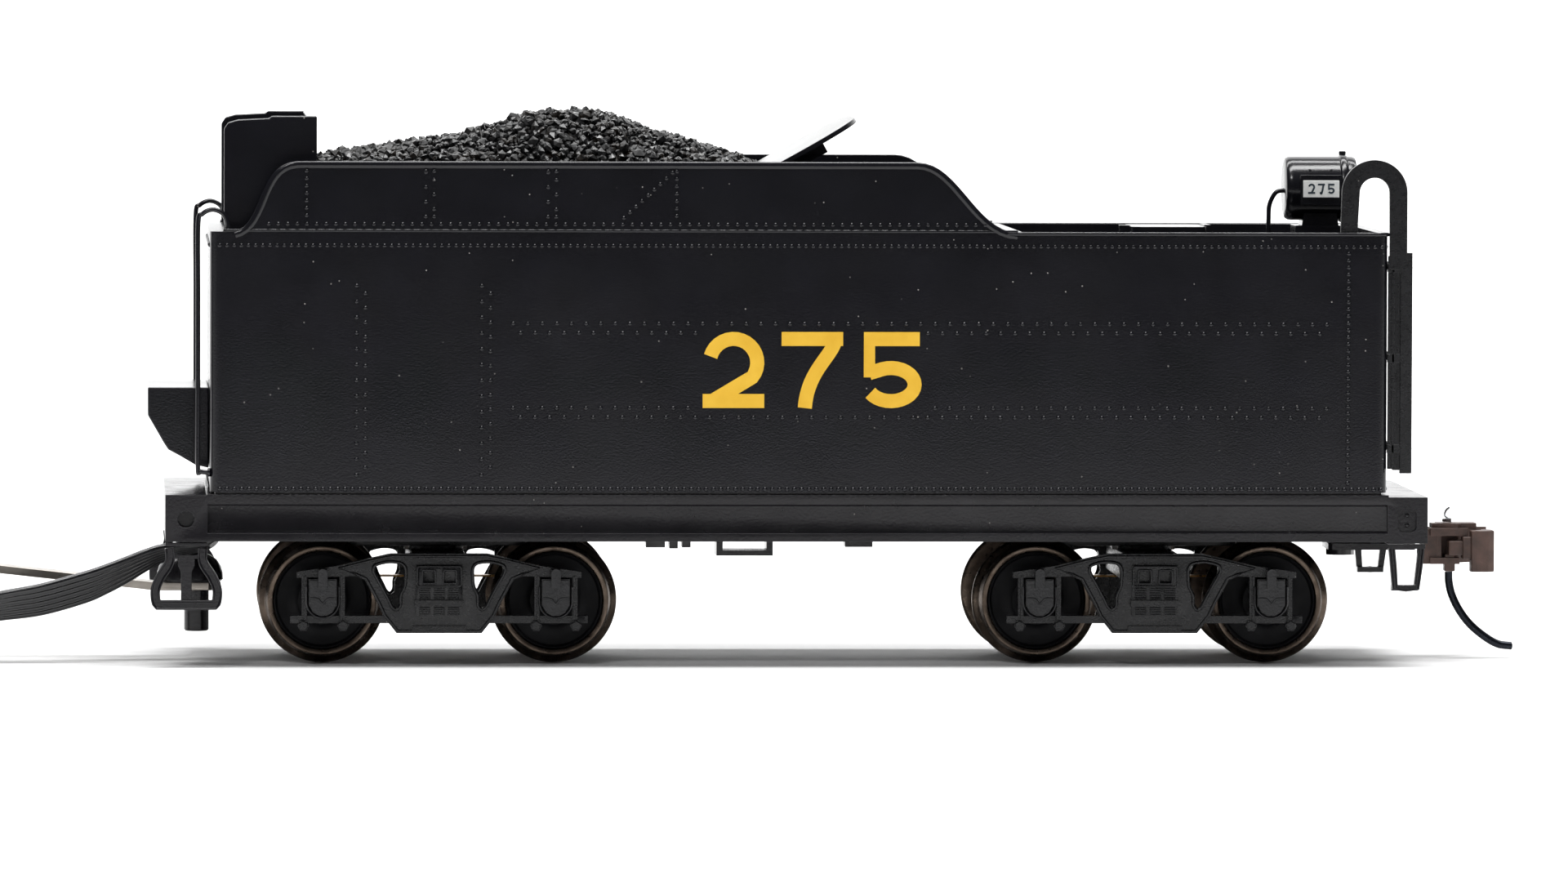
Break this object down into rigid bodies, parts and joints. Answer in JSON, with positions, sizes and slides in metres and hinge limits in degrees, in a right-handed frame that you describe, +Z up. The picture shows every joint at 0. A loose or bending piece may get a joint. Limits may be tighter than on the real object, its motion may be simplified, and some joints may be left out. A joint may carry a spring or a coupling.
{
  "type": "model steam locomotive tender",
  "caption": "Rectangular coal and water tender for a model steam locomotive, with flared bunker, swivelling trucks, backup lamp, drawbar and knuckle coupler",
  "frame": {"origin": "on the surface that the wheel flanges stand on, under the middle of the tender with its drawbar and coupler", "axes": "+X to the rear, along the track; +Y to the right side; +Z up"},
  "size_m": [0.1583, 0.034, 0.0514],
  "materials": {
    "tank_black": "satin black paint on moulded ABS",
    "frame_black": "satin black paint on die-cast zinc",
    "truck_black": "moulded acetal, satin",
    "coal": "crushed coal, glossy facets",
    "wheel_nickel": "turned and blackened nickel silver",
    "drawbar_steel": "stamped steel strip",
    "screw_steel": "zinc plated",
    "pin_steel": "blackened steel wire",
    "coupler_brown": "moulded brown acetal",
    "bronze": "phosphor bronze strip",
    "white_plate": "printed white",
    "lamp_glass": "clear moulded lens",
    "lamp_bulb": "warm white resin",
    "zinc": "as cast",
    "board": "green solder mask",
    "wire_black": "soft PVC insulation, semi-gloss"
  },
  "bodies": {
    "root": {"underframe": "frame_black", "tank_shell": "tank_black", "coal_bulkhead": "tank_black", "coal_load": "coal", "slope_sheet": "tank_black", "water_hatch": "tank_black", "front_locker": "tank_black", "rear_ladder": "tank_black", "drawbar_post": "frame_black", "backup_lamp_body": "tank_black", "backup_lamp_lens": "lamp_glass", "backup_lamp_bulb": "lamp_bulb", "weight": "zinc", "circuit_board": "board", "front_handrail_left": "tank_black", "front_step_left": "frame_black", "rear_step_left": "frame_black", "number_plate_left": "white_plate", "front_handrail_right": "tank_black", "front_step_right": "frame_black", "rear_step_right": "frame_black", "number_plate_right": "white_plate", "front_body_screw": "screw_steel", "front_kingpin_screw": "screw_steel", "rear_body_screw": "screw_steel", "rear_kingpin_screw": "screw_steel", "coupler_box": "frame_black", "coupler_box_lid": "frame_black", "wire_1": "wire_black", "wire_2": "wire_black", "wire_3": "wire_black", "wire_4": "wire_black", "wire_5": "wire_black", "wire_6": "wire_black", "wire_plug": "wire_black"},
    "front_truck": {"front_truck_bolster": "truck_black", "front_truck_pickup_wiper": "bronze", "front_truck_sideframe_left": "truck_black", "front_truck_sideframe_right": "truck_black"},
    "front_wheelset_1": {"front_axle_1": "wheel_nickel", "front_wheel_1_left": "wheel_nickel", "front_wheel_1_right": "wheel_nickel"},
    "front_wheelset_2": {"front_axle_2": "wheel_nickel", "front_wheel_2_left": "wheel_nickel", "front_wheel_2_right": "wheel_nickel"},
    "rear_truck": {"rear_truck_bolster": "truck_black", "rear_truck_pickup_wiper": "bronze", "rear_truck_sideframe_left": "truck_black", "rear_truck_sideframe_right": "truck_black"},
    "rear_wheelset_1": {"rear_axle_1": "wheel_nickel", "rear_wheel_1_left": "wheel_nickel", "rear_wheel_1_right": "wheel_nickel"},
    "rear_wheelset_2": {"rear_axle_2": "wheel_nickel", "rear_wheel_2_left": "wheel_nickel", "rear_wheel_2_right": "wheel_nickel"},
    "drawbar": {"drawbar": "drawbar_steel"},
    "coupler": {"coupler_head": "coupler_brown", "knuckle_spring": "screw_steel"},
    "knuckle": {"coupler_knuckle": "coupler_brown", "trip_pin": "pin_steel"}
  },
  "joints": [
    {"name": "front_truck_swivel", "type": "hinge", "parent": "root", "child": "front_truck", "pos_m": [-0.02658, 0, 0.0109], "axis": [0, 0, 1], "range_deg": [-10, 10]},
    {"name": "front_wheelset_1_spin", "type": "hinge", "parent": "front_truck", "child": "front_wheelset_1", "pos_m": [-0.03737, 0, 0.0059], "axis": [0, 1, 0], "continuous": true},
    {"name": "front_wheelset_2_spin", "type": "hinge", "parent": "front_truck", "child": "front_wheelset_2", "pos_m": [-0.01578, 0, 0.0059], "axis": [0, 1, 0], "continuous": true},
    {"name": "rear_truck_swivel", "type": "hinge", "parent": "root", "child": "rear_truck", "pos_m": [0.04002, 0, 0.0109], "axis": [0, 0, 1], "range_deg": [-10, 10]},
    {"name": "rear_wheelset_1_spin", "type": "hinge", "parent": "rear_truck", "child": "rear_wheelset_1", "pos_m": [0.02923, 0, 0.0059], "axis": [0, 1, 0], "continuous": true},
    {"name": "rear_wheelset_2_spin", "type": "hinge", "parent": "rear_truck", "child": "rear_wheelset_2", "pos_m": [0.05083, 0, 0.0059], "axis": [0, 1, 0], "continuous": true},
    {"name": "drawbar_swing", "type": "hinge", "parent": "root", "child": "drawbar", "pos_m": [-0.04897, 0, 0.00675], "axis": [0, 0, 1], "range_deg": [-15, 15]},
    {"name": "coupler_swing", "type": "hinge", "parent": "root", "child": "coupler", "pos_m": [0.06123, 0, 0.0117], "axis": [0, 0, 1], "range_deg": [-10, 10], "stiffness_Nm_per_rad": 0.001},
    {"name": "knuckle_open", "type": "hinge", "parent": "coupler", "child": "knuckle", "pos_m": [0.06932, -0.0019, 0.0102], "axis": [0, 0, 1], "range_deg": [-25, 0], "stiffness_Nm_per_rad": 0.0005, "springref_deg": 5.73}
  ]
}
